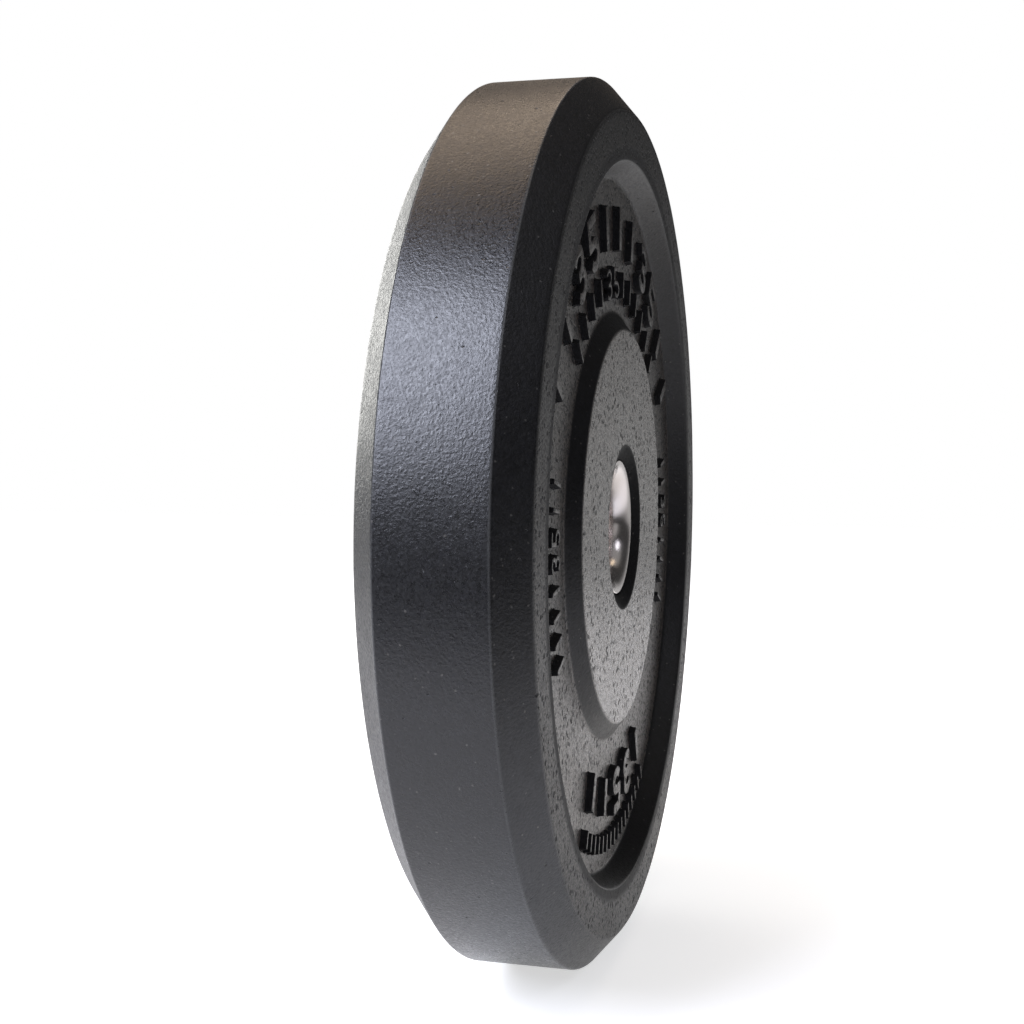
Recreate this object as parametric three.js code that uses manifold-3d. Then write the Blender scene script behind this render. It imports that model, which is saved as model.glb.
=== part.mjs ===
// A bumper plate for a barbell: one moulding of crumb rubber round a flared stainless steel insert.
// Lengths are millimetres. The plate stands on its tread with its axis along Y, the origin is the
// centre of the bore, and the front face looks along -Y with +Z up.

import * as THREE from 'three';
import { mergeVertices } from 'three/addons/utils/BufferGeometryUtils.js';
import Module from 'manifold-3d';

const wasm = await Module();
wasm.setup();

// Outline of the rubber. Each face has a raised rim, a sunk field with the markings, and a raised hub.
const plateDiameter = 450;
const plateThickness = 75;
const treadWidth = 48;
const rimOuterDiameter = 418;
const rimInnerDiameter = 370;
const fieldOuterDiameter = 356;
const fieldDepth = 11.5;
const hubBaseDiameter = 222;
const hubFaceDiameter = 204;
const hubSetback = 4.6;
const mouthDiameter = 84.6;

// Insert: a stainless tube with both ends spun outwards. Its lips sit below the hub faces.
const boreDiameter = 50.4;
const sleeveWall = 2.8;
const lipDiameter = 70;
const lipSetback = 3.5;
const flareRun = 9.5;

// Anchor: a drilled ring at the middle of the insert. Rubber flows through its holes.
const ringDiameter = 110;
const ringThickness = 4;
const ringHoleDiameter = 12;
const ringHoleCircle = 84;
const ringHoleCount = 8;

// Markings: raised bars and plain numbers in arcs on the sunk field.
const markHeight = 3.4;
const markRoot = 1;
// Width of a stroke, as a share of the way from the hub's base to the edge of the field.
const tallStrokeShare = 0.0896;
const smallStrokeShare = 0.0388;

// Gap left between the rubber and the steel that it holds, and between ring and tube.
const seatClearance = 0.3;
// How far a rubber key reaches into the body at each end.
const keyOverrun = 2;

// Facet counts. An even count turned by half a facet puts a flat at the bottom of the tread.
const rubberFacets = 96;
const steelFacets = 64;
const holeFacets = 16;
const flareSteps = 4;
const bowlSteps = 5;

// Sizes that follow from the ones above.
const halfThickness = plateThickness / 2;
const halfTread = treadWidth / 2;
const fieldY = halfThickness - fieldDepth;
const hubY = halfThickness - hubSetback;
const lipY = hubY - lipSetback;
const throatY = lipY - flareRun;
const lipRadius = lipDiameter / 2;
const flareRise = lipRadius - boreDiameter / 2;
const sleeveRadius = boreDiameter / 2 + sleeveWall;
const fieldStart = hubBaseDiameter / 2;
const fieldReach = fieldOuterDiameter / 2 - fieldStart;
const tallStroke = fieldReach * tallStrokeShare;
const smallStroke = fieldReach * smallStrokeShare;

const rubber = new THREE.MeshStandardMaterial({ color: 0x4a4846, roughness: 0.82, metalness: 0 });
const stainless = new THREE.MeshStandardMaterial({ color: 0xc9c2bf, roughness: 0.18, metalness: 1 });
const mildSteel = new THREE.MeshStandardMaterial({ color: 0x77787a, roughness: 0.55, metalness: 1 });

// Closed solid for joining and cutting, from the position of each vertex alone.
function toSolid(geometry) {
  const bare = geometry.clone();
  bare.deleteAttribute('normal');
  bare.deleteAttribute('uv');
  const merged = mergeVertices(bare);
  const vertProperties = new Float32Array(merged.attributes.position.array);
  const triVerts = new Uint32Array(merged.index.array);
  return new wasm.Manifold(new wasm.Mesh({ numProp: 3, vertProperties, triVerts }));
}

// Geometry again, from a joined or cut solid.
function toGeometry(solid) {
  const { vertProperties, triVerts } = solid.getMesh();
  const geometry = new THREE.BufferGeometry();
  geometry.setAttribute('position', new THREE.BufferAttribute(new Float32Array(vertProperties), 3));
  geometry.setIndex(new THREE.BufferAttribute(new Uint32Array(triVerts), 1));
  geometry.computeVertexNormals();
  return geometry;
}

// Turns one side's outline, mirrored at the middle plane, into a ring with its axis along Y.
// The outline lists radius and height for the back side, with the metal or rubber on its left.
function revolve(backOutline, facets) {
  const frontOutline = backOutline.map(([radius, y]) => [radius, -y]).reverse();
  const loop = [...backOutline, ...frontOutline, backOutline[0]];
  const points = loop.map(([radius, y]) => new THREE.Vector2(radius, y));
  return new THREE.LatheGeometry(points, facets, Math.PI / facets);
}

// Quarter of the flare's ellipse about the lip's radius, drawn in by an inset, from lip to throat.
function flareCurve(inset, firstStep = 0) {
  const points = [];
  for (let step = firstStep; step <= flareSteps; step++) {
    const turn = (Math.PI / 2) * (step / flareSteps);
    const radius = lipRadius - (flareRise - inset) * Math.sin(turn);
    const y = throatY + (flareRun - inset) * Math.cos(turn);
    points.push([radius, y]);
  }
  return points;
}

// Outline of an open line with a width, as a shape. Corners are mitred.
function strokeShape(line, width) {
  const directions = line.slice(1).map((point, index) => point.clone().sub(line[index]).normalize());
  const left = [];
  const right = [];
  line.forEach((point, index) => {
    const arriving = directions[Math.max(index - 1, 0)];
    const leaving = directions[Math.min(index, directions.length - 1)];
    const middle = arriving.clone().add(leaving).normalize();
    const reach = width / 2 / middle.dot(leaving);
    const side = new THREE.Vector2(-middle.y, middle.x).multiplyScalar(reach);
    left.push(point.clone().sub(side));
    right.unshift(point.clone().add(side));
  });
  return new THREE.Shape([...left, ...right]);
}

// Clockwise stretch of an ellipse that fills one half of a figure's height, about the given height.
function bowl(width, height, centreY, fromDegrees, toDegrees) {
  const points = [];
  for (let step = 0; step <= bowlSteps; step++) {
    const degrees = fromDegrees + ((toDegrees - fromDegrees) * step) / bowlSteps;
    const turn = THREE.MathUtils.degToRad(degrees);
    const x = (width / 2) * Math.cos(turn);
    const y = centreY + (height / 4) * Math.sin(turn);
    points.push(new THREE.Vector2(x, y));
  }
  return points;
}

// Centre lines of a bar, a three and a five about the middle of a cell. A mark has one line or more.
const waistShare = 0.22;

function bar(width, height) {
  return [[new THREE.Vector2(0, -height / 2), new THREE.Vector2(0, height / 2)]];
}

function three(width, height) {
  const waist = new THREE.Vector2(-width * waistShare, 0);
  const upper = [...bowl(width, height, height / 4, 155, -90), waist];
  const lower = [waist, ...bowl(width, height, -height / 4, 90, -155)];
  return [upper, lower];
}

function five(width, height) {
  const topRight = new THREE.Vector2(width / 2, height / 2);
  const topLeft = new THREE.Vector2(-width / 2, height / 2);
  const waist = new THREE.Vector2(-width / 2, 0);
  return [[topRight, topLeft, waist, ...bowl(width, height, -height / 4, 105, -155)]];
}

// Rows of marks. A row lies between two shares of the way from the hub's base to the edge of the field,
// and its marks are spread evenly between two angles, clockwise from the top as the face is seen.
// A mark takes up the width share of its pitch along the row.
const rows = [
  {
    bandShares: [0.42, 0.84],
    degrees: [-62, 62],
    widthShare: 0.66,
    stroke: tallStroke,
    marks: [bar, bar, three, five, bar, bar, bar, three, five, bar, bar],
  },
  {
    bandShares: [0.1, 0.34],
    degrees: [-46, 46],
    widthShare: 0.7,
    stroke: smallStroke,
    marks: [bar, bar, bar, bar, three, five, bar, bar, bar, bar, bar, bar],
  },
  {
    bandShares: [0.3, 0.54],
    degrees: [78, 112],
    widthShare: 0.7,
    stroke: smallStroke,
    marks: [bar, bar, three, five, bar, bar, bar, bar],
  },
  {
    bandShares: [0.3, 0.54],
    degrees: [-112, -78],
    widthShare: 0.7,
    stroke: smallStroke,
    marks: [bar, bar, bar, bar, three, five, bar, bar],
  },
  {
    bandShares: [0.24, 0.62],
    degrees: [156, 204],
    widthShare: 0.7,
    stroke: tallStroke,
    marks: [bar, three, five, bar, bar],
  },
  {
    bandShares: [0.7, 0.88],
    degrees: [154, 206],
    widthShare: 0.7,
    stroke: smallStroke,
    marks: [bar, bar, bar, bar, bar, bar, bar, bar, bar, bar, bar, bar, bar, bar, bar, bar],
  },
];

// The solids of one mark, standing on the field of the front face.
function markSolids(row, index) {
  const [inner, outer] = row.bandShares.map((share) => fieldStart + fieldReach * share);
  const [first, last] = row.degrees.map((degrees) => THREE.MathUtils.degToRad(degrees));
  const pitch = (last - first) / (row.marks.length - 1);
  const centre = (inner + outer) / 2;
  const width = pitch * centre * row.widthShare - row.stroke;
  const lines = row.marks[index](width, outer - inner - row.stroke);
  return lines.map((line) => {
    const options = { depth: markRoot + markHeight, bevelEnabled: false };
    const geometry = new THREE.ExtrudeGeometry(strokeShape(line, row.stroke), options);
    geometry.translate(0, centre, fieldY - markRoot);
    geometry.rotateZ(-(first + pitch * index));
    return toSolid(geometry.rotateX(Math.PI / 2));
  });
}

// All the marks, the same on both faces.
function allMarks() {
  const front = rows.flatMap((row) => row.marks.flatMap((mark, index) => markSolids(row, index)));
  const back = front.map((solid) => toSolid(toGeometry(solid).rotateZ(Math.PI)));
  return [...front, ...back];
}

// Rubber keys that fill the ring's holes and join the two halves of the body there.
function keySolids() {
  const length = ringThickness + (seatClearance + keyOverrun) * 2;
  const radius = ringHoleDiameter / 2 - seatClearance;
  return ringHolePlaces().map(({ x, z }) => {
    const key = new THREE.CylinderGeometry(radius, radius, length, holeFacets);
    return toSolid(key.translate(x, 0, z));
  });
}

function ringHolePlaces() {
  return Array.from({ length: ringHoleCount }, (_, index) => {
    const turn = (Math.PI * 2 * index) / ringHoleCount;
    return { x: (ringHoleCircle / 2) * Math.cos(turn), z: (ringHoleCircle / 2) * Math.sin(turn) };
  });
}

function rubberBody() {
  const grooveY = ringThickness / 2 + seatClearance;
  const seatY = lipY - sleeveWall - seatClearance;
  const outline = [
    [plateDiameter / 2, halfTread],
    [rimOuterDiameter / 2, halfThickness],
    [rimInnerDiameter / 2, halfThickness],
    [fieldOuterDiameter / 2, fieldY],
    [hubBaseDiameter / 2, fieldY],
    [hubFaceDiameter / 2, hubY],
    [mouthDiameter / 2, hubY],
    [lipRadius + seatClearance, lipY],
    [lipRadius + seatClearance, seatY],
    ...flareCurve(sleeveWall + seatClearance, 1),
    [sleeveRadius + seatClearance, grooveY],
    [ringDiameter / 2 + seatClearance, grooveY],
  ];
  let solid = toSolid(revolve(outline, rubberFacets));
  for (const piece of [...keySolids(), ...allMarks()]) {
    solid = solid.add(piece);
  }
  return new THREE.Mesh(toGeometry(solid), rubber);
}

// Tube with its ends spun out: up the rubber side from the throat to the lip, then back along the bore.
function insertSleeve() {
  const outline = [...flareCurve(sleeveWall).reverse(), ...flareCurve(0)];
  return new THREE.Mesh(revolve(outline, steelFacets), stainless);
}

function circlePoints(centre, radius, facets) {
  return Array.from({ length: facets }, (_, index) => {
    const turn = (Math.PI * 2 * index) / facets;
    return new THREE.Vector2(centre.x + radius * Math.cos(turn), centre.z + radius * Math.sin(turn));
  });
}

// Flat ring with a hole for the tube and a circle of holes for the rubber keys.
function anchorRing() {
  const middle = { x: 0, z: 0 };
  const tubeHole = circlePoints(middle, sleeveRadius + seatClearance, steelFacets);
  const keyHoles = ringHolePlaces().map((place) => circlePoints(place, ringHoleDiameter / 2, holeFacets));
  const shape = new THREE.Shape(circlePoints(middle, ringDiameter / 2, steelFacets));
  shape.holes.push(...[tubeHole, ...keyHoles].map((points) => new THREE.Path(points)));
  const geometry = new THREE.ExtrudeGeometry(shape, { depth: ringThickness, bevelEnabled: false });
  geometry.translate(0, 0, -ringThickness / 2);
  geometry.rotateX(Math.PI / 2);
  return new THREE.Mesh(geometry, mildSteel);
}

const plate = new THREE.Group();
for (const [name, make] of Object.entries({
  rubber_body: rubberBody,
  insert_sleeve: insertSleeve,
  anchor_ring: anchorRing,
})) {
  const mesh = make();
  mesh.name = name;
  plate.add(mesh);
}

export default plate;
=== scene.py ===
# %% [markdown]
# # A crumb rubber bumper plate
# A bumper plate is a barbell weight that may be dropped. It is one thick disc of recycled rubber crumb,
# pressed and cured round a steel insert that slides on the bar. This lesson builds its surface in
# Blender round a plain solid model that already has the right sizes. The solid model is the frame: it
# is loaded first, it is measured, and nothing in it is moved.

# %% Load the frame
import math

import bmesh
import bpy
import numpy as np
from mathutils import Matrix, Vector, noise


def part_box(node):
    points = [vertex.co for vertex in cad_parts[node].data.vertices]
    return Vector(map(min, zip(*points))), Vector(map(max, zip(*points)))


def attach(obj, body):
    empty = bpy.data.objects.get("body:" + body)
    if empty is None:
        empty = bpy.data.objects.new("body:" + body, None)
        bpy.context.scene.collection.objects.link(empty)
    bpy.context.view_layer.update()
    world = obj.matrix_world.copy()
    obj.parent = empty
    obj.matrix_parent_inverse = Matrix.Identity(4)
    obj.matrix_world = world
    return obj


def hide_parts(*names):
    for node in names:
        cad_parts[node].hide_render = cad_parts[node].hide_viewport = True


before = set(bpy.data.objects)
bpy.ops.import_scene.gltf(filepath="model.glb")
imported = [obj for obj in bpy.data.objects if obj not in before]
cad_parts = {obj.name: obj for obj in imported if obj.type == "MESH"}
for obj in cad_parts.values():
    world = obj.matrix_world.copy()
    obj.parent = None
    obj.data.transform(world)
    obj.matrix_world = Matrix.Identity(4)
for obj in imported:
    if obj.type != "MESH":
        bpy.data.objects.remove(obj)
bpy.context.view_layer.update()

rubber_low, rubber_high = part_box("rubber_body")
sleeve_low, sleeve_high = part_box("insert_sleeve")
print("plate", [round(v, 4) for v in rubber_high - rubber_low])
print("insert", [round(v, 4) for v in sleeve_high - sleeve_low])

# %% [markdown]
# ## Where the camera stands
# The plate stands on its tread with its axis along Y. The camera looks at the tread from the -X side, a
# little in front of the face with the markings, and from just above the middle of the plate. A long way
# round would be to turn the camera by angles. It is easier to give the point where it stands and the
# point that it looks at, and let Blender work out the turn.

# %% Camera
camera_place = Vector((-0.7671, -0.1811, 0.0601))
camera_aim = Vector((0.0, 0.0284, -0.0188))
camera_lens = 52.6
camera_rise = 0.0469

camera = bpy.data.objects.new("camera", bpy.data.cameras.new("camera"))
bpy.context.scene.collection.objects.link(camera)
camera.location = camera_place
camera.rotation_mode = "QUATERNION"
camera.rotation_quaternion = (camera_aim - camera_place).to_track_quat("-Z", "Y")
camera.data.lens = camera_lens
camera.data.shift_y = camera_rise
camera.data.clip_start = 0.05
bpy.context.scene.camera = camera
print("camera is", round((camera_aim - camera_place).length, 3), "m from its aim")

# %% [markdown]
# ## Sizes
# The overall sizes come from the frame, so the dressed plate always fits the solid one. The others are
# the plate's own: how wide the tread is, where the raised rim starts and ends, how deep the field with
# the markings lies, and how far the hub stands up from it. Lengths are metres.

# %% Sizes of the plate
plate_radius = rubber_high.z
half_thickness = rubber_high.y
half_tread = 0.024
rim_outer = 0.209
rim_inner = 0.185
field_outer = 0.178
field_depth = 0.0115
hub_base = 0.111
hub_face = 0.102
hub_setback = 0.0046
mouth_radius = 0.0423

lip_radius = sleeve_high.z
lip_y = sleeve_high.y
bore_radius = 0.0252
sleeve_wall = 0.0028
flare_run = 0.0095
seat_clearance = 0.0003
ring_radius = 0.055
ring_half = 0.002

field_y = half_thickness - field_depth
hub_y = half_thickness - hub_setback
throat_y = lip_y - flare_run
flare_rise = lip_radius - bore_radius
sleeve_radius = bore_radius + sleeve_wall
print("field is", round(field_y, 4), "and hub face", round(hub_y, 4), "from the middle plane")

# %% [markdown]
# ## Outlines and turned shapes
# The plate and its insert are both round, so each is an outline turned about the Y axis. A moulding has
# no sharp corners: every corner is given a cut, the distance at which its rounding starts. The
# straight stretches are then divided into short steps, so that the surface can carry real unevenness.


# %% Rounded outline
def softened(corners, steps=4):
    """Closed list of (radius, y, cut) to outline points, with each corner rounded from its cut on."""
    points = []
    for index, (radius, y, cut) in enumerate(corners):
        corner = Vector((radius, y))
        if not cut:
            points.append(corner)
            continue
        before = Vector(corners[index - 1][:2])
        after = Vector(corners[(index + 1) % len(corners)][:2])
        start = corner + (before - corner).normalized() * cut
        end = corner + (after - corner).normalized() * cut
        for step in range(steps + 1):
            way = step / steps
            points.append(start * (1 - way) ** 2 + corner * (2 * way * (1 - way)) + end * way ** 2)
    return points


def divided(points, longest):
    """The same closed outline with no step longer than the given length."""
    result = []
    for index, point in enumerate(points):
        after = points[(index + 1) % len(points)]
        pieces = max(1, math.ceil((after - point).length / longest))
        result += [point.lerp(after, piece / pieces) for piece in range(pieces)]
    return np.array([tuple(point) for point in result])


def mirrored(back):
    """Outline of the back half, followed by its mirror image for the front."""
    return back + [(radius, -y, cut) for radius, y, cut in reversed(back)]


# %% Turning an outline
def turned(name, outline, segments, uneven=None):
    """Mesh object of a closed outline turned about Y. uneven(point) is how far a point sinks."""
    ahead = np.roll(outline, -1, 0) - np.roll(outline, 1, 0)
    ahead /= np.linalg.norm(ahead, axis=1)[:, None]
    outward = np.stack([ahead[:, 1], -ahead[:, 0]], 1)
    turns = (np.arange(segments) + 0.5) * 2 * math.pi / segments
    cos, sin = np.cos(turns)[:, None], np.sin(turns)[:, None]
    radius, y = outline[:, 0][None], outline[:, 1][None]
    places = np.stack([radius * cos, y + 0 * cos, radius * sin], 2).reshape(-1, 3)
    if uneven:
        sideways, along = outward[:, 0][None], outward[:, 1][None]
        normals = np.stack([sideways * cos, along + 0 * cos, sideways * sin], 2).reshape(-1, 3)
        sunk = np.array([uneven(place) for place in places])
        places = places - normals * sunk[:, None]
    count = len(outline)
    ring = np.arange(segments)[:, None] * count
    next_ring = np.roll(ring, -1, 0)
    here = np.arange(count)[None]
    there = np.roll(here, -1, 1)
    quads = np.stack([ring + here, ring + there, next_ring + there, next_ring + here], 2).reshape(-1, 4)
    mesh = bpy.data.meshes.new(name)
    mesh.from_pydata(places.tolist(), [], quads.tolist())
    mesh.update()
    shape = bpy.data.objects.new(name, mesh)
    bpy.context.scene.collection.objects.link(shape)
    return shape


# %% [markdown]
# ## The rubber moulding
# Crumb rubber comes out of the press slightly uneven, because the crumbs shrink by different amounts.
# A bump map could fake that, but the sheen on the tread would then stay too even at a low angle. So the
# surface itself sinks by up to a fifth of a millimetre, in broad and in small swells.

# %% Rubber body without its markings
broad_swell = 0.030
small_swell = 0.0065
broad_depth = 0.00012
small_depth = 0.00004


def press_unevenness(place):
    broad = noise.noise(Vector(place) / broad_swell)
    small = noise.noise(Vector(place) / small_swell)
    return broad_depth * (0.5 + 0.5 * broad) + small_depth * (0.5 + 0.5 * small)


def flare_line(inset, first_step, steps):
    """Quarter of an ellipse from the lip to the throat, drawn in by an inset."""
    points = []
    for step in range(first_step, steps + 1):
        turn = math.pi / 2 * step / steps
        radius = lip_radius - (flare_rise - inset) * math.sin(turn)
        points.append((radius, throat_y + (flare_run - inset) * math.cos(turn), 0))
    return points


rubber_step = 0.0018
rubber_segments = 900
rubber_flare_steps = 6
seat_radius = lip_radius + seat_clearance
groove_y = ring_half + seat_clearance
rubber_back = [
    (plate_radius, half_tread, 0.0007),
    (rim_outer, half_thickness, 0.0016),
    (rim_inner, half_thickness, 0.0012),
    (field_outer, field_y, 0.0016),
    (hub_base, field_y, 0.0016),
    (hub_face, hub_y, 0.0011),
    (mouth_radius, hub_y, 0.0008),
    (seat_radius, lip_y, 0.0004),
    (seat_radius, lip_y - sleeve_wall - seat_clearance, 0),
    *flare_line(sleeve_wall + seat_clearance, 1, rubber_flare_steps),
    (sleeve_radius + seat_clearance, groove_y, 0),
    (ring_radius + seat_clearance, groove_y, 0),
]
rubber_outline = divided(softened(mirrored(rubber_back)), rubber_step)
rubber = turned("crumb_rubber_plate", rubber_outline, rubber_segments, press_unevenness)
print("rubber has", len(rubber.data.polygons), "faces before its markings")

# %% [markdown]
# ## Raised markings
# The markings stand up from the sunk field on both faces, in arcs. They are plain: bars, and the
# number of the weight. Each is a stroke along a centre line. A stroke is built in levels, wide at the
# foot where the mould leaves a fillet, then drawn in a little towards a softened top edge.

# %% Centre lines of the marks
waist_share = 0.22
bowl_steps = 14


def bowl(width, height, centre, from_degrees, to_degrees):
    points = []
    for step in range(bowl_steps + 1):
        turn = math.radians(from_degrees + (to_degrees - from_degrees) * step / bowl_steps)
        points.append(Vector((width / 2 * math.cos(turn), centre + height / 4 * math.sin(turn))))
    return points


def bar(width, height):
    return [[Vector((0, -height / 2)), Vector((0, height / 2))]]


def three(width, height):
    waist = Vector((-width * waist_share, 0))
    upper = [*bowl(width, height, height / 4, 155, -90), waist]
    return [upper, [waist, *bowl(width, height, -height / 4, 90, -155)]]


def five(width, height):
    corners = [(width / 2, height / 2), (-width / 2, height / 2), (-width / 2, 0)]
    return [[*map(Vector, corners), *bowl(width, height, -height / 4, 105, -155)]]


# %% Rows of marks
tall_stroke = 0.006
small_stroke = 0.0026
rows = [
    dict(band_shares=(0.42, 0.84), degrees=(-62, 62), width_share=0.66, stroke=tall_stroke,
         marks=[bar, bar, three, five, bar, bar, bar, three, five, bar, bar]),
    dict(band_shares=(0.10, 0.34), degrees=(-46, 46), width_share=0.7, stroke=small_stroke,
         marks=[*[bar] * 4, three, five, *[bar] * 6]),
    dict(band_shares=(0.30, 0.54), degrees=(78, 112), width_share=0.7, stroke=small_stroke,
         marks=[bar, bar, three, five, *[bar] * 4]),
    dict(band_shares=(0.30, 0.54), degrees=(-112, -78), width_share=0.7, stroke=small_stroke,
         marks=[*[bar] * 4, three, five, bar, bar]),
    dict(band_shares=(0.24, 0.62), degrees=(156, 204), width_share=0.7, stroke=tall_stroke,
         marks=[bar, three, five, bar, bar]),
    dict(band_shares=(0.70, 0.88), degrees=(154, 206), width_share=0.7, stroke=small_stroke,
         marks=[bar] * 16),
]


# %% A mark as a solid
mark_height = 0.0034
# height above the field, and how much wider than the stroke the mark is there
mark_levels = [
    (-0.0010, 0.0010),
    (0.0, 0.0010),
    (0.0003, 0.0004),
    (0.0008, 0.0001),
    (mark_height - 0.0004, -0.0003),
    (mark_height - 0.0001, -0.0006),
    (mark_height, -0.0010),
]


def stroke_outline(line, width, longer):
    """Both sides of a centre line as one loop, with mitred corners and ends moved out."""
    directions = [(after - before).normalized() for before, after in zip(line, line[1:])]
    line = [line[0] - directions[0] * longer, *line[1:-1], line[-1] + directions[-1] * longer]
    left, right = [], []
    for index, point in enumerate(line):
        arriving = directions[max(index - 1, 0)]
        leaving = directions[min(index, len(directions) - 1)]
        middle = (arriving + leaving).normalized()
        side = Vector((-middle.y, middle.x)) * (width / 2 / middle.dot(leaving))
        left.append(point - side)
        right.insert(0, point + side)
    return left + right


def stroke_solid(line, stroke, place):
    """Vertices and faces of one stroke. place puts its flat coordinates on the plate's front."""
    vertices = []
    for height, wider in mark_levels:
        for point in stroke_outline(line, stroke + wider, wider / 2):
            vertices.append(place @ Vector((point.x, -height, point.y)))
    count = len(line) * 2
    faces = [list(range(count))[::-1]]
    for level in range(len(mark_levels) - 1):
        for index in range(count):
            beside = (index + 1) % count
            low, high = level * count, (level + 1) * count
            faces.append([low + index, low + beside, high + beside, high + index])
    faces.append([(len(mark_levels) - 1) * count + index for index in range(count)])
    return vertices, faces


def marks_object(name, stroke_number, side_turn):
    """All first strokes or all second strokes of one face's marks, as one object."""
    vertices, faces = [], []
    for row in rows:
        inner, outer = [hub_base + (field_outer - hub_base) * share for share in row["band_shares"]]
        first, last = map(math.radians, row["degrees"])
        pitch = (last - first) / (len(row["marks"]) - 1)
        centre = (inner + outer) / 2
        width = pitch * centre * row["width_share"] - row["stroke"]
        for index, mark in enumerate(row["marks"]):
            lines = mark(width, outer - inner - row["stroke"])[stroke_number:stroke_number + 1]
            clockwise = Matrix.Rotation(first + pitch * index, 4, "Y")
            place = side_turn @ clockwise @ Matrix.Translation((0, -field_y, centre))
            for line in lines:
                more_vertices, more_faces = stroke_solid(line, row["stroke"], place)
                faces += [[len(vertices) + corner for corner in face] for face in more_faces]
                vertices += more_vertices
    mesh = bpy.data.meshes.new(name)
    mesh.from_pydata(vertices, [], faces)
    shape = bpy.data.objects.new(name, mesh)
    bpy.context.scene.collection.objects.link(shape)
    return shape


# %% Join the markings to the body
def join_solid(target, tool):
    """Unites tool with target, keeps the result as target's mesh and removes tool."""
    union = target.modifiers.new("union", "BOOLEAN")
    union.operation = "UNION"
    union.solver = "MANIFOLD"
    union.object = tool
    evaluated = target.evaluated_get(bpy.context.evaluated_depsgraph_get())
    joined = bpy.data.meshes.new_from_object(evaluated)
    target.modifiers.remove(union)
    target.data = joined
    bpy.data.objects.remove(tool)


for side_turn in (Matrix.Identity(4), Matrix.Rotation(math.pi, 4, "Z")):
    for stroke_number in (0, 1):
        join_solid(rubber, marks_object("marks", stroke_number, side_turn))

# a union can leave a few faces with no area, whose points are merged
merge_distance = 0.000001
whole = bmesh.new()
whole.from_mesh(rubber.data)
bmesh.ops.dissolve_degenerate(whole, dist=merge_distance, edges=whole.edges)
whole.to_mesh(rubber.data)
whole.free()

sharp_angle = math.radians(50)
rubber.data.shade_smooth()
rubber.data.set_sharp_from_angle(angle=sharp_angle)
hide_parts("rubber_body")
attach(rubber, "root")
print("rubber has", len(rubber.data.polygons), "faces with its markings")

# %% [markdown]
# ## The insert
# The insert is a stainless tube whose ends are spun outwards into a trumpet mouth, then polished. The
# mouth guides the plate on to the bar. It is turned like the rubber, with many more steps on the flare,
# because a polished surface shows every facet in its reflections.

# %% Insert
lip_cut = 0.0006
insert_flare_steps = 20
insert_step = 0.004
insert_segments = 360
outer_wall = flare_line(sleeve_wall, 0, insert_flare_steps)
inner_wall = flare_line(0, 0, insert_flare_steps)
insert_back = [(radius, y, lip_cut if radius == lip_radius else 0)
               for radius, y, _ in [*reversed(outer_wall), *inner_wall]]
insert_outline = divided(softened(mirrored(insert_back)), insert_step)
insert = turned("stainless_insert", insert_outline, insert_segments)
insert.data.shade_smooth()
insert.data.set_sharp_from_angle(angle=sharp_angle)
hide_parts("insert_sleeve")
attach(insert, "root")
print("insert has", len(insert.data.polygons), "faces")

# %% [markdown]
# ## Colour and node helpers
# Colours are written as sRGB hex, as a colour picker shows them, and one function turns them into the
# linear values that Blender's shaders use. A second small function adds a node, sets it and links it.


# %% Helpers for materials
def linear(hex_colour):
    """sRGB hex, such as 7F7F7F, to linear red, green, blue and full alpha."""
    channels = [int(hex_colour[start:start + 2], 16) / 255 for start in (0, 2, 4)]
    curve = [c / 12.92 if c <= 0.04045 else ((c + 0.055) / 1.055) ** 2.4 for c in channels]
    return (*curve, 1.0)


def add(tree, kind, settings=None, **inputs):
    """Adds a node. settings are its properties, inputs its sockets: a value, or a socket to link."""
    node = tree.nodes.new(kind)
    for key, value in (settings or {}).items():
        setattr(node, key, value)
    for key, value in inputs.items():
        socket = node.inputs[int(key[1:])] if key[1:].isdigit() else node.inputs[key.replace("_", " ")]
        if isinstance(value, bpy.types.NodeSocket):
            tree.links.new(value, socket)
        else:
            socket.default_value = value
    return node


def new_material(name):
    material = bpy.data.materials.new(name)
    material.use_nodes = True
    tree = material.node_tree
    tree.nodes.clear()
    return material, tree


def finish_material(tree, shader):
    add(tree, "ShaderNodeOutputMaterial", Surface=shader)


def distance_from_axis(tree, axes):
    """Socket with how far the shaded point lies from the plate's axis."""
    flat = add(tree, "ShaderNodeCombineXYZ", X=axes.outputs["X"], Z=axes.outputs["Z"])
    length = add(tree, "ShaderNodeVectorMath", dict(operation="LENGTH"), Vector=flat.outputs["Vector"])
    return length.outputs["Value"]


# %% [markdown]
# ## Crumb rubber
# The rubber is made of shredded tyres, bound and cured in a hot press. Against the mould it comes out
# almost black. The eye sees five things: a grain of one to two millimetres where crumb lies beside
# crumb, dark pits where crumbs did not meet, grey dust that settles on the flat faces and is rubbed
# into the hub by hands, pale lines along three corners, and a broken sheen where a lamp grazes the
# surface. The grain is a bump, because it is finer than the mesh. Its low spots and the pits are
# rougher than the rest and painted darker, painted shade in the hollows. Dust and pale lines are placed
# by the radius, by the distance to the middle plane and by which way the surface faces, so they follow
# the real steps of the plate. Dust lies only on what faces along the axis, so the sides of the markings
# stay bare and dark, which paints shade on them. Those sides are rougher too, and all walls inside the
# rim have less sheen and the mouth still less, painted shade in these recesses. The mouth and a band
# at the inner edge of the rim are painted bare and near black, a painted shade that draws a dark line
# round the field.

# %% Where on the plate a point lies
# a zone that ends at a corner fades over this distance on both sides of it
corner_margin = 0.001
# how far from the slopes beside the field the markings' own zone starts, and is whole
slope_near, slope_clear = 0.002, 0.003
# how far inside the tread's radius the tread's zone starts, and is whole
tread_near, tread_clear = 0.0015, 0.0005
# how far past the mouth its painted shade is whole, and how far it reaches
mouth_shade_whole, mouth_shade_reach = 0.0004, 0.0012

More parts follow.
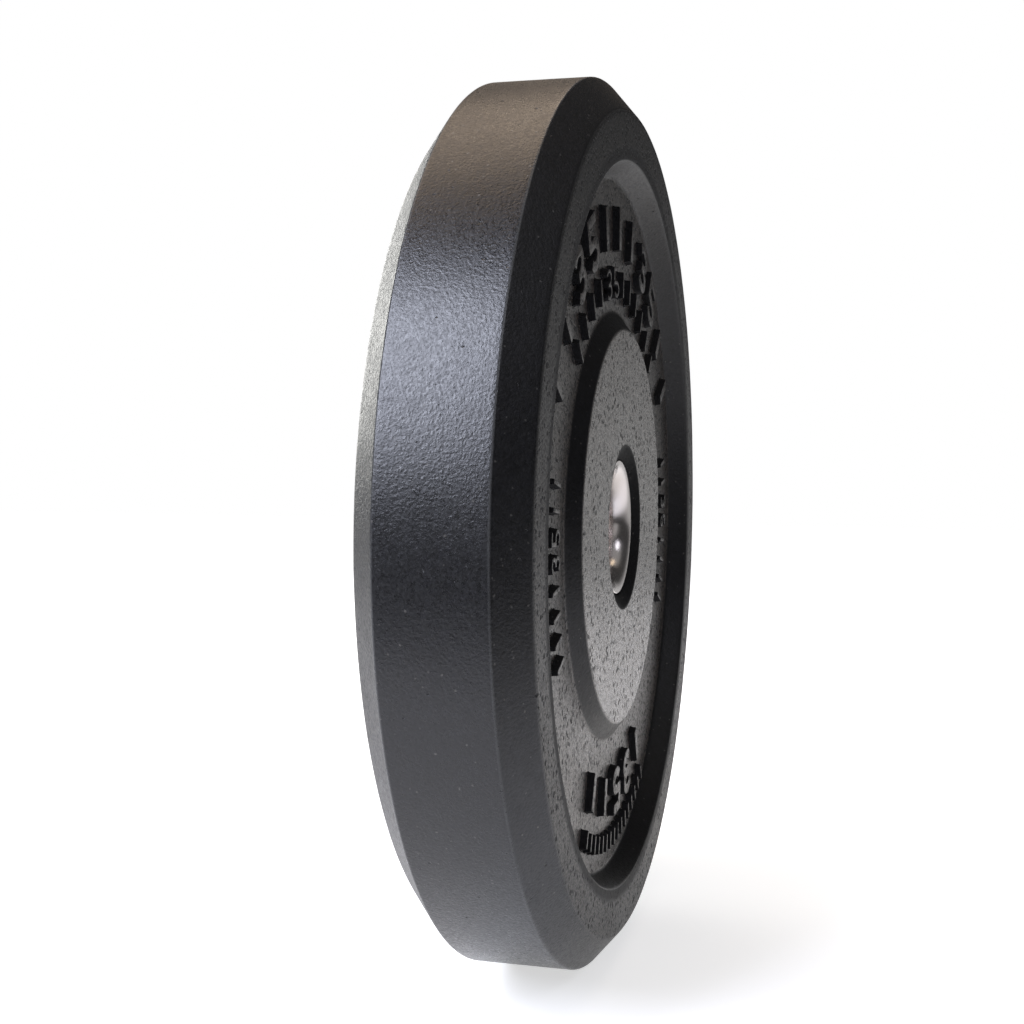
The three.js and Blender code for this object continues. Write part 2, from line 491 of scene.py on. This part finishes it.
crumb_rubber, tree = new_material("crumb_rubber_press_moulded")
coordinates = add(tree, "ShaderNodeTexCoord")
where = coordinates.outputs["Object"]
axes = add(tree, "ShaderNodeSeparateXYZ", Vector=where)
radius = distance_from_axis(tree, axes)
off_middle = add(tree, "ShaderNodeMath", dict(operation="ABSOLUTE"), _0=axes.outputs["Y"])
facing = add(tree, "ShaderNodeSeparateXYZ", Vector=coordinates.outputs["Normal"])
along_axis = add(tree, "ShaderNodeMath", dict(operation="ABSOLUTE"), _0=facing.outputs["Y"])
face_zone = add(tree, "ShaderNodeMapRange", Value=along_axis.outputs["Value"],
                From_Min=0.86, From_Max=0.98).outputs["Result"]
within_hub = add(tree, "ShaderNodeMapRange", Value=radius,
                 From_Min=hub_face + corner_margin, From_Max=hub_face - corner_margin)
hub_zone = add(tree, "ShaderNodeMath", dict(operation="MULTIPLY"),
               _0=within_hub.outputs["Result"], _1=face_zone)
within_rim = add(tree, "ShaderNodeMapRange", Value=radius,
                 From_Min=rim_inner - slope_clear, From_Max=rim_inner)
rim_zone = add(tree, "ShaderNodeMath", dict(operation="MULTIPLY"),
               _0=within_rim.outputs["Result"], _1=face_zone)
tread_zone = add(tree, "ShaderNodeMapRange", Value=radius,
                 From_Min=plate_radius - tread_near, From_Max=plate_radius - tread_clear).outputs["Result"]
# what does not face along the axis between the hub and the rim is a wall of a marking
past_hub = add(tree, "ShaderNodeMapRange", Value=radius,
               From_Min=hub_base + slope_near, From_Max=hub_base + slope_clear)
before_rim = add(tree, "ShaderNodeMapRange", Value=radius,
                 From_Min=field_outer - slope_near, From_Max=field_outer - slope_clear)
in_field = add(tree, "ShaderNodeMath", dict(operation="MULTIPLY"), _0=past_hub.outputs["Result"],
               _1=before_rim.outputs["Result"])
off_axis = add(tree, "ShaderNodeMath", dict(operation="SUBTRACT"), _0=1.0, _1=face_zone)
wall_zone = add(tree, "ShaderNodeMath", dict(operation="MULTIPLY"), _0=in_field.outputs["Value"],
                _1=off_axis.outputs["Value"])
# the mouth and a narrow band round it are painted bare of dust and near black, painted shade in the recess
# of the mouth
mouth_shade_zone = add(tree, "ShaderNodeMapRange", Value=radius,
                 From_Min=mouth_radius + mouth_shade_reach, From_Max=mouth_radius + mouth_shade_whole).outputs["Result"]
print("zones take", len(tree.nodes), "nodes")

# %% Grain, crumbs and pits of the rubber
grain_size = 0.0012
crumb_size = 0.0019
pit_size = 0.0027
mottle_size = 0.0013
smear_size = 0.045
pit_wobble = 0.0012
# the widest pit on the faces and elsewhere, as shares of a cell
widest_face_pit, widest_other_pit = 0.62, 0.34
# how far the painted dark band at the inner edge of the rim reaches, where it starts to fade, and how
# strong it is
dark_edge_reach, dark_edge_whole = 0.007, 0.004
dark_edge_share = 0.7

grain = add(tree, "ShaderNodeTexNoise", Vector=where, Scale=1 / grain_size, Detail=2.5, Roughness=0.6)
crumbs = add(tree, "ShaderNodeTexVoronoi", Vector=where, Scale=1 / crumb_size)
smears = add(tree, "ShaderNodeTexNoise", Vector=where, Scale=1 / smear_size, Detail=5.0, Roughness=0.6)
mottle = add(tree, "ShaderNodeTexNoise", Vector=where, Scale=1 / mottle_size, Detail=1.0)
# the grain moves the outlines of the pits, which would be too round
wobbled = add(tree, "ShaderNodeVectorMath", dict(operation="MULTIPLY_ADD"), _0=grain.outputs["Color"],
              _1=(pit_wobble, pit_wobble, pit_wobble), _2=where)
pits = add(tree, "ShaderNodeTexVoronoi", Vector=wobbled.outputs["Vector"], Scale=1 / pit_size)
pit_choice = add(tree, "ShaderNodeSeparateColor", Color=pits.outputs["Color"])
# a pit in seven cells of ten on the faces, in one of twenty elsewhere, each with its own radius
pit_least = add(tree, "ShaderNodeMapRange", Value=face_zone, To_Min=0.95, To_Max=0.3)
pit_most = add(tree, "ShaderNodeMapRange", Value=face_zone, To_Min=widest_other_pit,
               To_Max=widest_face_pit)
pit_radius = add(tree, "ShaderNodeMapRange", Value=pit_choice.outputs["Red"],
                 From_Min=pit_least.outputs["Result"], From_Max=1.0, To_Min=0.0,
                 To_Max=pit_most.outputs["Result"])
pit_inside = add(tree, "ShaderNodeMath", dict(operation="SUBTRACT"), _0=pit_radius.outputs["Result"],
                 _1=pits.outputs["Distance"])
pit = add(tree, "ShaderNodeMapRange", Value=pit_inside.outputs["Value"],
          From_Min=0.0, From_Max=0.24, To_Min=0.0, To_Max=1.0).outputs["Result"]
# the low spots of the grain hold no dust, are rougher and are painted darker, painted shade in the hollows,
# which shows most on the dusty faces
low_grain = add(tree, "ShaderNodeMapRange", Value=grain.outputs["Fac"],
                From_Min=0.52, From_Max=0.34, To_Min=0.0, To_Max=0.6)
low_share = add(tree, "ShaderNodeMapRange", Value=face_zone, To_Min=0.5, To_Max=1.0)
low_shown = add(tree, "ShaderNodeMath", dict(operation="MULTIPLY"), _0=low_grain.outputs["Result"],
                _1=low_share.outputs["Result"])
low_or_pit = add(tree, "ShaderNodeMath", dict(operation="MAXIMUM"), _0=low_shown.outputs["Value"], _1=pit)
# the rim's face next to its inner edge is painted bare of dust and dark, a painted shade line round the
# field
dark_edge_band = add(tree, "ShaderNodeMapRange", Value=radius, From_Min=rim_inner + dark_edge_reach,
                From_Max=rim_inner + dark_edge_whole, To_Min=0.0, To_Max=dark_edge_share)
dark_edge_shade = add(tree, "ShaderNodeMath", dict(operation="MULTIPLY"), _0=dark_edge_band.outputs["Result"],
                 _1=rim_zone.outputs["Value"])
# the pits, the low spots, the band at the rim's inner edge and the mouth make one mask of painted shade,
# which also keeps dust off
shaded_low_or_edge = add(tree, "ShaderNodeMath", dict(operation="MAXIMUM"), _0=low_or_pit.outputs["Value"],
                _1=dark_edge_shade.outputs["Value"])
shaded_bare_spot = add(tree, "ShaderNodeMath", dict(operation="MAXIMUM"), _0=shaded_low_or_edge.outputs["Value"],
               _1=mouth_shade_zone)
# one cell in nine holds a speck of pale crumb, and few of them reach the surface
pale_choice = add(tree, "ShaderNodeMapRange", Value=pit_choice.outputs["Green"],
                  From_Min=0.88, From_Max=0.89)
pale_inside = add(tree, "ShaderNodeMapRange", Value=pits.outputs["Distance"],
                  From_Min=0.24, From_Max=0.10)
pale_speck = add(tree, "ShaderNodeMath", dict(operation="MULTIPLY"), _0=pale_choice.outputs["Result"],
                 _1=pale_inside.outputs["Result"])
print("a pit is up to", round(2000 * pit_size * widest_face_pit, 1), "mm wide")

# %% Pale lines along corners
pale_line_reach = 0.0009
# radius and height of each corner, and how much of the pale line colour it takes
pale_line_corners = [
    (plate_radius, half_tread, 0.25),
    (rim_outer, half_thickness, 0.2),
    (hub_face, hub_y, 0.3),
]
# a paler colour along three corners of the outline, broken by the smears
profile_point = add(tree, "ShaderNodeCombineXYZ", X=radius, Y=off_middle.outputs["Value"])
pale_line = 0.0
for corner_radius, corner_height, amount in pale_line_corners:
    from_corner = add(tree, "ShaderNodeVectorMath", dict(operation="DISTANCE"),
                      _0=profile_point.outputs["Vector"], _1=(corner_radius, corner_height, 0.0))
    near_corner = add(tree, "ShaderNodeMapRange", Value=from_corner.outputs["Value"],
                      From_Min=pale_line_reach, From_Max=pale_line_reach / 3, To_Min=0.0, To_Max=amount)
    pale_line = add(tree, "ShaderNodeMath", dict(operation="MAXIMUM"), _0=pale_line,
                _1=near_corner.outputs["Result"]).outputs["Value"]
broken_pale_line = add(tree, "ShaderNodeMath", dict(operation="MULTIPLY"), _0=pale_line, _1=smears.outputs["Fac"])

# %% Colour of the rubber
crumb_tone = add(tree, "ShaderNodeSeparateColor", Color=crumbs.outputs["Color"])
tone = add(tree, "ShaderNodeMix", dict(data_type="RGBA"), Factor=crumb_tone.outputs["Red"],
           _6=linear("0B0B0D"), _7=linear("141417"))
dust_patches = add(tree, "ShaderNodeMapRange", Value=smears.outputs["Fac"],
                   From_Min=0.35, From_Max=0.7, To_Min=0.28, To_Max=0.42)
# some crumbs hold the dust better than others
crumb_dust = add(tree, "ShaderNodeMath", dict(operation="MULTIPLY_ADD"), _0=crumb_tone.outputs["Green"],
                 _1=0.16, _2=dust_patches.outputs["Result"])
# dust lies only on what faces along the axis, so the walls of the markings and the slopes stay bare and
# dark: dust on the faces, and painted shade on the walls
face_dust_wall_shade = add(tree, "ShaderNodeMath", dict(operation="MULTIPLY"), _0=face_zone,
                _1=crumb_dust.outputs["Value"])
hub_dust_wall_shade = add(tree, "ShaderNodeMath", dict(operation="MULTIPLY_ADD"), _0=hub_zone.outputs["Value"],
               _1=0.36, _2=face_dust_wall_shade.outputs["Value"])
rim_dust_wall_shade = add(tree, "ShaderNodeMath", dict(operation="MULTIPLY_ADD"), _0=rim_zone.outputs["Value"],
               _1=-0.30, _2=hub_dust_wall_shade.outputs["Value"])
dust_and_shade = add(tree, "ShaderNodeMath", dict(operation="SUBTRACT", use_clamp=True), _0=rim_dust_wall_shade.outputs["Value"],
           _1=shaded_bare_spot.outputs["Value"])
dusted_and_shaded = add(tree, "ShaderNodeMix", dict(data_type="RGBA"), Factor=dust_and_shade.outputs["Value"],
             _6=tone.outputs[2], _7=linear("6A625B"))
# painted shade: where that mask lies, the colour is mixed towards near black
shade_painted = add(tree, "ShaderNodeMix", dict(data_type="RGBA"), Factor=shaded_bare_spot.outputs["Value"],
               _6=dusted_and_shaded.outputs[2], _7=linear("0C0C0E"))
with_pale_lines = add(tree, "ShaderNodeMix", dict(data_type="RGBA"), Factor=broken_pale_line.outputs["Value"],
              _6=shade_painted.outputs[2], _7=linear("8C8C8A"))
colour = add(tree, "ShaderNodeMix", dict(data_type="RGBA"), Factor=pale_speck.outputs["Value"],
             _6=with_pale_lines.outputs[2], _7=linear("4A4845"))

# %% Roughness and relief of the rubber
grain_relief = 0.00017
crumb_relief = 0.00005
pit_relief = 0.0004

smear_rough = add(tree, "ShaderNodeMapRange", Value=smears.outputs["Fac"],
                  From_Min=0.3, From_Max=0.7, To_Min=0.34, To_Max=0.40)
crumb_rough = add(tree, "ShaderNodeMath", dict(operation="MULTIPLY_ADD"), _0=crumb_tone.outputs["Blue"],
                  _1=0.06, _2=smear_rough.outputs["Result"])
mottle_rough = add(tree, "ShaderNodeMapRange", Value=mottle.outputs["Fac"],
                   From_Min=0.3, From_Max=0.7, To_Min=-0.14, To_Max=-0.05)
# the mottled sheen belongs to the tread, which the press flattens most
tread_rough = add(tree, "ShaderNodeMath", dict(operation="MULTIPLY_ADD"), _0=tread_zone,
                  _1=mottle_rough.outputs["Result"], _2=crumb_rough.outputs["Value"])
face_rough = add(tree, "ShaderNodeMath", dict(operation="MULTIPLY_ADD"), _0=face_zone,
                 _1=-0.10, _2=tread_rough.outputs["Value"])
hub_rough = add(tree, "ShaderNodeMath", dict(operation="MULTIPLY_ADD"), _0=hub_zone.outputs["Value"],
                _1=-0.10, _2=face_rough.outputs["Value"])
rim_rough = add(tree, "ShaderNodeMath", dict(operation="MULTIPLY_ADD"), _0=rim_zone.outputs["Value"],
                _1=0.15, _2=hub_rough.outputs["Value"])
# the walls of the markings pull against the mould as they leave it, which dulls them
wall_rough = add(tree, "ShaderNodeMath", dict(operation="MULTIPLY_ADD"), _0=wall_zone.outputs["Value"],
                 _1=0.5, _2=rim_rough.outputs["Value"])
rough = add(tree, "ShaderNodeMath", dict(operation="MULTIPLY_ADD"), _0=shaded_bare_spot.outputs["Value"],
            _1=0.35, _2=wall_rough.outputs["Value"])
# the walls inside the rim get less sheen and the mouth still less, painted shade in these recesses
inside_rim = add(tree, "ShaderNodeMapRange", Value=radius,
                 From_Min=rim_inner + corner_margin, From_Max=rim_inner - corner_margin)
sunk_wall = add(tree, "ShaderNodeMath", dict(operation="MULTIPLY"), _0=inside_rim.outputs["Result"],
                _1=off_axis.outputs["Value"])
wall_sheen = add(tree, "ShaderNodeMapRange", Value=sunk_wall.outputs["Value"], To_Min=0.5, To_Max=0.3)
sheen = add(tree, "ShaderNodeMapRange", Value=mouth_shade_zone, To_Min=wall_sheen.outputs["Result"], To_Max=0.1)
grain_bump = add(tree, "ShaderNodeBump", Strength=1.0, Distance=grain_relief, Height=grain.outputs["Fac"])
crumb_bump = add(tree, "ShaderNodeBump", dict(invert=True), Strength=1.0, Distance=crumb_relief,
                 Height=crumbs.outputs["Distance"], Normal=grain_bump.outputs["Normal"])
pit_bump = add(tree, "ShaderNodeBump", dict(invert=True), Strength=1.0, Distance=pit_relief,
               Height=pit, Normal=crumb_bump.outputs["Normal"])
shader = add(tree, "ShaderNodeBsdfPrincipled", Base_Color=colour.outputs[2],
             Roughness=rough.outputs["Value"], IOR=1.52, Specular_IOR_Level=sheen.outputs["Result"],
             Normal=pit_bump.outputs["Normal"])
finish_material(tree, shader.outputs["BSDF"])
rubber.data.materials.clear()
rubber.data.materials.append(crumb_rubber)
print("crumb rubber has", len(tree.nodes), "nodes")

# %% [markdown]
# ## Polished stainless steel
# The flare is spun on a lathe and buffed, so it is nearly a mirror with very fine rings left round the
# axis. The rings spread a reflection across themselves and not along themselves, which is what the
# anisotropy does. A metal's colour is in its reflection, so the base colour is bright and slightly
# warm. The rings are drawn every third of a millimetre, coarser than real, so that they show.

# %% Polished stainless steel material
ring_spacing = 0.00033
ring_relief = 0.00001
haze_size = 0.012
quarter_turn = 0.25

stainless, tree = new_material("stainless_steel_spun_polished")
where = add(tree, "ShaderNodeTexCoord").outputs["Object"]
axes = add(tree, "ShaderNodeSeparateXYZ", Vector=where)
radius = distance_from_axis(tree, axes)
across = add(tree, "ShaderNodeMath", dict(operation="ADD"), _0=radius, _1=axes.outputs["Y"])
rings = add(tree, "ShaderNodeTexNoise", dict(noise_dimensions="1D"), W=across.outputs["Value"],
            Scale=1 / ring_spacing, Detail=2.0)
haze = add(tree, "ShaderNodeTexNoise", Vector=where, Scale=1 / haze_size, Detail=3.0)
rough = add(tree, "ShaderNodeMapRange", Value=haze.outputs["Fac"],
            From_Min=0.3, From_Max=0.7, To_Min=0.19, To_Max=0.27)
round_axis = add(tree, "ShaderNodeTangent", dict(direction_type="RADIAL", axis="Y"))
ring_bump = add(tree, "ShaderNodeBump", Strength=0.3, Distance=ring_relief, Height=rings.outputs["Fac"])
shader = add(tree, "ShaderNodeBsdfPrincipled", Base_Color=linear("CDC7C5"), Metallic=1.0,
             Roughness=rough.outputs["Result"], Anisotropic=0.8, Anisotropic_Rotation=quarter_turn,
             Normal=ring_bump.outputs["Normal"], Tangent=round_axis.outputs["Tangent"])
finish_material(tree, shader.outputs["BSDF"])
insert.data.materials.clear()
insert.data.materials.append(stainless)
print("stainless steel has", len(tree.nodes), "nodes")

# %% [markdown]
# ## Mild steel of the hidden ring
# The drilled ring inside the rubber is cut from hot rolled plate. Nobody sees it, but it keeps a finish
# of its own: blue-grey mill scale with a rough, blotchy surface.

# %% Mild steel material
scale_size = 0.009
scale_relief = 0.0001

mild_steel, tree = new_material("mild_steel_hot_rolled")
where = add(tree, "ShaderNodeTexCoord").outputs["Object"]
scale_blotches = add(tree, "ShaderNodeTexNoise", Vector=where, Scale=1 / scale_size, Detail=5.0)
colour = add(tree, "ShaderNodeMix", dict(data_type="RGBA"), Factor=scale_blotches.outputs["Fac"],
             _6=linear("5A5E66"), _7=linear("7B7672"))
scale_bump = add(tree, "ShaderNodeBump", Strength=0.4, Distance=scale_relief,
                 Height=scale_blotches.outputs["Fac"])
shader = add(tree, "ShaderNodeBsdfPrincipled", Base_Color=colour.outputs[2], Metallic=1.0,
             Roughness=0.55, Normal=scale_bump.outputs["Normal"])
finish_material(tree, shader.outputs["BSDF"])
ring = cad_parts["anchor_ring"]
ring.data.materials.clear()
ring.data.materials.append(mild_steel)
print("mild steel has", len(tree.nodes), "nodes")

# %% [markdown]
# ## Floor
# The plate stands on a round sheet of matt white paper, with the dark floor of the studio round it. The
# camera sees all of it as white as the background, with the plate's own soft shadow on it, because part
# of its light is a glow of its own. The lamps give the rest, which the plate can block. Reflections see
# the real light and dark of it, and a fainter glow behind the plate, so that the rubber stays black.

# %% Floor
backdrop_side = (0.9, 0.43, 0.0)
floor_half = 3.0
paper_middle = (0.50, 0.40, 0.0)
paper_edge_from, paper_edge_to = 0.95, 1.45
floor_corners = [(-floor_half, -floor_half, 0), (floor_half, -floor_half, 0)]
floor_corners += [(floor_half, floor_half, 0), (-floor_half, floor_half, 0)]
floor_mesh = bpy.data.meshes.new("floor")
floor_mesh.from_pydata(floor_corners, [], [(0, 1, 2, 3)])
floor = bpy.data.objects.new("floor", floor_mesh)
floor.location.z = rubber_low.z
bpy.context.scene.collection.objects.link(floor)

white_floor, tree = new_material("floor_matt_white_paper")
where = add(tree, "ShaderNodeTexCoord").outputs["Object"]
from_middle = add(tree, "ShaderNodeVectorMath", dict(operation="DISTANCE"), _0=where, _1=paper_middle)
beyond = add(tree, "ShaderNodeMapRange", dict(interpolation_type="SMOOTHSTEP"),
             Value=from_middle.outputs["Value"],
             From_Min=paper_edge_from, From_Max=paper_edge_to).outputs["Result"]
sheet = add(tree, "ShaderNodeMix", dict(data_type="RGBA"), Factor=beyond, _6=linear("E6E6E6"),
            _7=linear("2A2A2A"))
paper = add(tree, "ShaderNodeBsdfDiffuse", Color=sheet.outputs[2])
away = add(tree, "ShaderNodeVectorMath", dict(operation="LENGTH"), Vector=where)
glow_away = add(tree, "ShaderNodeMapRange", Value=away.outputs["Value"],
                From_Min=0.3, From_Max=0.9, To_Min=0.6, To_Max=0.82)
glow = add(tree, "ShaderNodeMath", dict(operation="MULTIPLY_ADD"), _0=beyond, _1=0.2,
           _2=glow_away.outputs["Result"])
toward_back = add(tree, "ShaderNodeVectorMath", dict(operation="DOT_PRODUCT"), Vector=where,
                  _1=backdrop_side)
reflected = add(tree, "ShaderNodeMapRange", dict(interpolation_type="SMOOTHSTEP"),
                Value=toward_back.outputs["Value"], From_Min=-1.0, From_Max=0.2, To_Min=0.05, To_Max=0.55)
path = add(tree, "ShaderNodeLightPath")
gloss = add(tree, "ShaderNodeMath", dict(operation="MAXIMUM"), _0=path.outputs["Is Glossy Ray"],
            _1=path.outputs["Is Transmission Ray"])
gloss_glow = add(tree, "ShaderNodeMath", dict(operation="MULTIPLY"), _0=gloss.outputs["Value"],
                 _1=reflected.outputs["Result"])
glow_seen = add(tree, "ShaderNodeMath", dict(operation="MULTIPLY_ADD"), _0=path.outputs["Is Camera Ray"],
                _1=glow.outputs["Value"], _2=gloss_glow.outputs["Value"])
shine = add(tree, "ShaderNodeEmission", Strength=glow_seen.outputs["Value"])
both = add(tree, "ShaderNodeAddShader", _0=paper.outputs["BSDF"], _1=shine.outputs["Emission"])
finish_material(tree, both.outputs["Shader"])
floor_mesh.materials.append(white_floor)
print("floor lies at", round(floor.location.z, 4))

# %% [markdown]
# ## Lamps
# Black rubber shows its lamps more than its colour, so each lamp is a large soft box put where its
# reflection is wanted. The cool key lamp mirrors itself in the tread a little above the middle. The
# warm top lamp does so near the top. The side lamp grazes the shoulder behind, and the edge lamp adds a
# little warmth to the edge beside it. The front lamp hangs high over the face with the markings, lifts
# its shadows and is the small white light in the steel. The high lamp is the warm one below it. A
# lamp's power is worked out from the brightness of its surface, so a lamp can change size and look the
# same in a reflection.

# %% Lamps
lamp_distance = 1.7


def soft_box(name, direction, size, brightness, hex_colour):
    """Rectangular lamp that faces the plate. Brightness is that of its surface, where 1 is white."""
    lamp = bpy.data.objects.new(name, bpy.data.lights.new(name, "AREA"))
    lamp.data.shape = "RECTANGLE"
    lamp.data.size, lamp.data.size_y = size
    lamp.data.energy = brightness * math.pi * size[0] * size[1]
    lamp.data.color = linear(hex_colour)[:3]
    lamp.location = Vector(direction).normalized() * lamp_distance
    lamp.rotation_mode = "QUATERNION"
    lamp.rotation_quaternion = (-lamp.location).to_track_quat("-Z", "Y")
    bpy.context.scene.collection.objects.link(lamp)
    print(name, "gives", round(lamp.data.energy, 1), "W")


soft_box("key_lamp", (-0.70, 0.42, 0.60), (0.8, 1.2), 14.6, "E8EDFF")
soft_box("side_lamp", (0.68, 0.70, 0.22), (1.3, 0.55), 7.3, "F6F6F2")
soft_box("top_lamp", (0.28, 0.26, 0.92), (1.5, 0.9), 2.1, "FFE6CC")
soft_box("edge_lamp", (0.84, 0.25, 0.48), (0.8, 0.5), 0.3, "FFE6CC")
soft_box("front_lamp", (-0.45, -0.65, 0.62), (0.6, 0.5), 2.6, "F4F4FF")
soft_box("high_lamp", (0.16, -0.30, 0.94), (0.5, 0.3), 2.0, "FFE6C0")

# %% [markdown]
# ## World
# The camera sees a white background. Reflections see the same white low behind the plate, and it fades
# to a dim room above and towards the side of the face, because black rubber in an all white room
# would turn grey. The polished steel would show that dim room as black, so it gets a pale wall behind
# the camera and a patch of pale ceiling. Everything else gets a dim even light from the room.

# %% World
wall_side = (-0.99, -0.15, 0.0)
ceiling_side = (-0.10, -0.50, 0.86)

world = bpy.data.worlds.new("studio")
bpy.context.scene.world = world
world.use_nodes = True
tree = world.node_tree
tree.nodes.clear()
path = add(tree, "ShaderNodeLightPath")
direction = add(tree, "ShaderNodeTexCoord").outputs["Generated"]
toward_back = add(tree, "ShaderNodeVectorMath", dict(operation="DOT_PRODUCT"), Vector=direction,
                  _1=backdrop_side)
behind = add(tree, "ShaderNodeMapRange", dict(interpolation_type="SMOOTHSTEP"),
             Value=toward_back.outputs["Value"], From_Min=0.2, From_Max=0.75)
axes = add(tree, "ShaderNodeSeparateXYZ", Vector=direction)
low = add(tree, "ShaderNodeMapRange", dict(interpolation_type="SMOOTHSTEP"), Value=axes.outputs["Z"],
          From_Min=0.25, From_Max=-0.15)
backdrop = add(tree, "ShaderNodeMath", dict(operation="MULTIPLY"), _0=behind.outputs["Result"],
               _1=low.outputs["Result"])
reflected = add(tree, "ShaderNodeMapRange", Value=backdrop.outputs["Value"], To_Min=0.05, To_Max=0.72)
# a pale wall behind the camera, which the steel and the middle of the tread show
toward_wall = add(tree, "ShaderNodeVectorMath", dict(operation="DOT_PRODUCT"), Vector=direction,
                  _1=wall_side)
wall_glow = add(tree, "ShaderNodeMapRange", dict(interpolation_type="SMOOTHSTEP"),
                Value=toward_wall.outputs["Value"], From_Min=0.78, From_Max=0.95, To_Min=0.0, To_Max=0.45)
# a pale ceiling over the side of the face, which the lower half of the steel shows
toward_ceiling = add(tree, "ShaderNodeVectorMath", dict(operation="DOT_PRODUCT"), Vector=direction,
                     _1=ceiling_side)
ceiling_glow = add(tree, "ShaderNodeMapRange", dict(interpolation_type="SMOOTHSTEP"),
                   Value=toward_ceiling.outputs["Value"],
                   From_Min=0.82, From_Max=0.97, To_Min=0.0, To_Max=0.3)
pale_room = add(tree, "ShaderNodeMath", dict(operation="ADD"), _0=wall_glow.outputs["Result"],
                _1=ceiling_glow.outputs["Result"])
reflected_all = add(tree, "ShaderNodeMath", dict(operation="ADD"), _0=reflected.outputs["Result"],
                    _1=pale_room.outputs["Value"])
room = add(tree, "ShaderNodeBackground", Color=linear("F4F6FF"), Strength=0.28)
reflection = add(tree, "ShaderNodeBackground", Color=linear("FFFFFF"),
                 Strength=reflected_all.outputs["Value"])
white = add(tree, "ShaderNodeBackground", Color=linear("FFFFFF"), Strength=1.0)
gloss = add(tree, "ShaderNodeMath", dict(operation="MAXIMUM"), _0=path.outputs["Is Glossy Ray"],
            _1=path.outputs["Is Transmission Ray"])
lit = add(tree, "ShaderNodeMixShader", Fac=gloss.outputs["Value"], _1=room.outputs["Background"],
          _2=reflection.outputs["Background"])
surround = add(tree, "ShaderNodeMixShader", Fac=path.outputs["Is Camera Ray"], _1=lit.outputs["Shader"],
               _2=white.outputs["Background"])
add(tree, "ShaderNodeOutputWorld", Surface=surround.outputs["Shader"])
bpy.context.scene.view_settings.view_transform = "Standard"
print("world has", len(tree.nodes), "nodes")
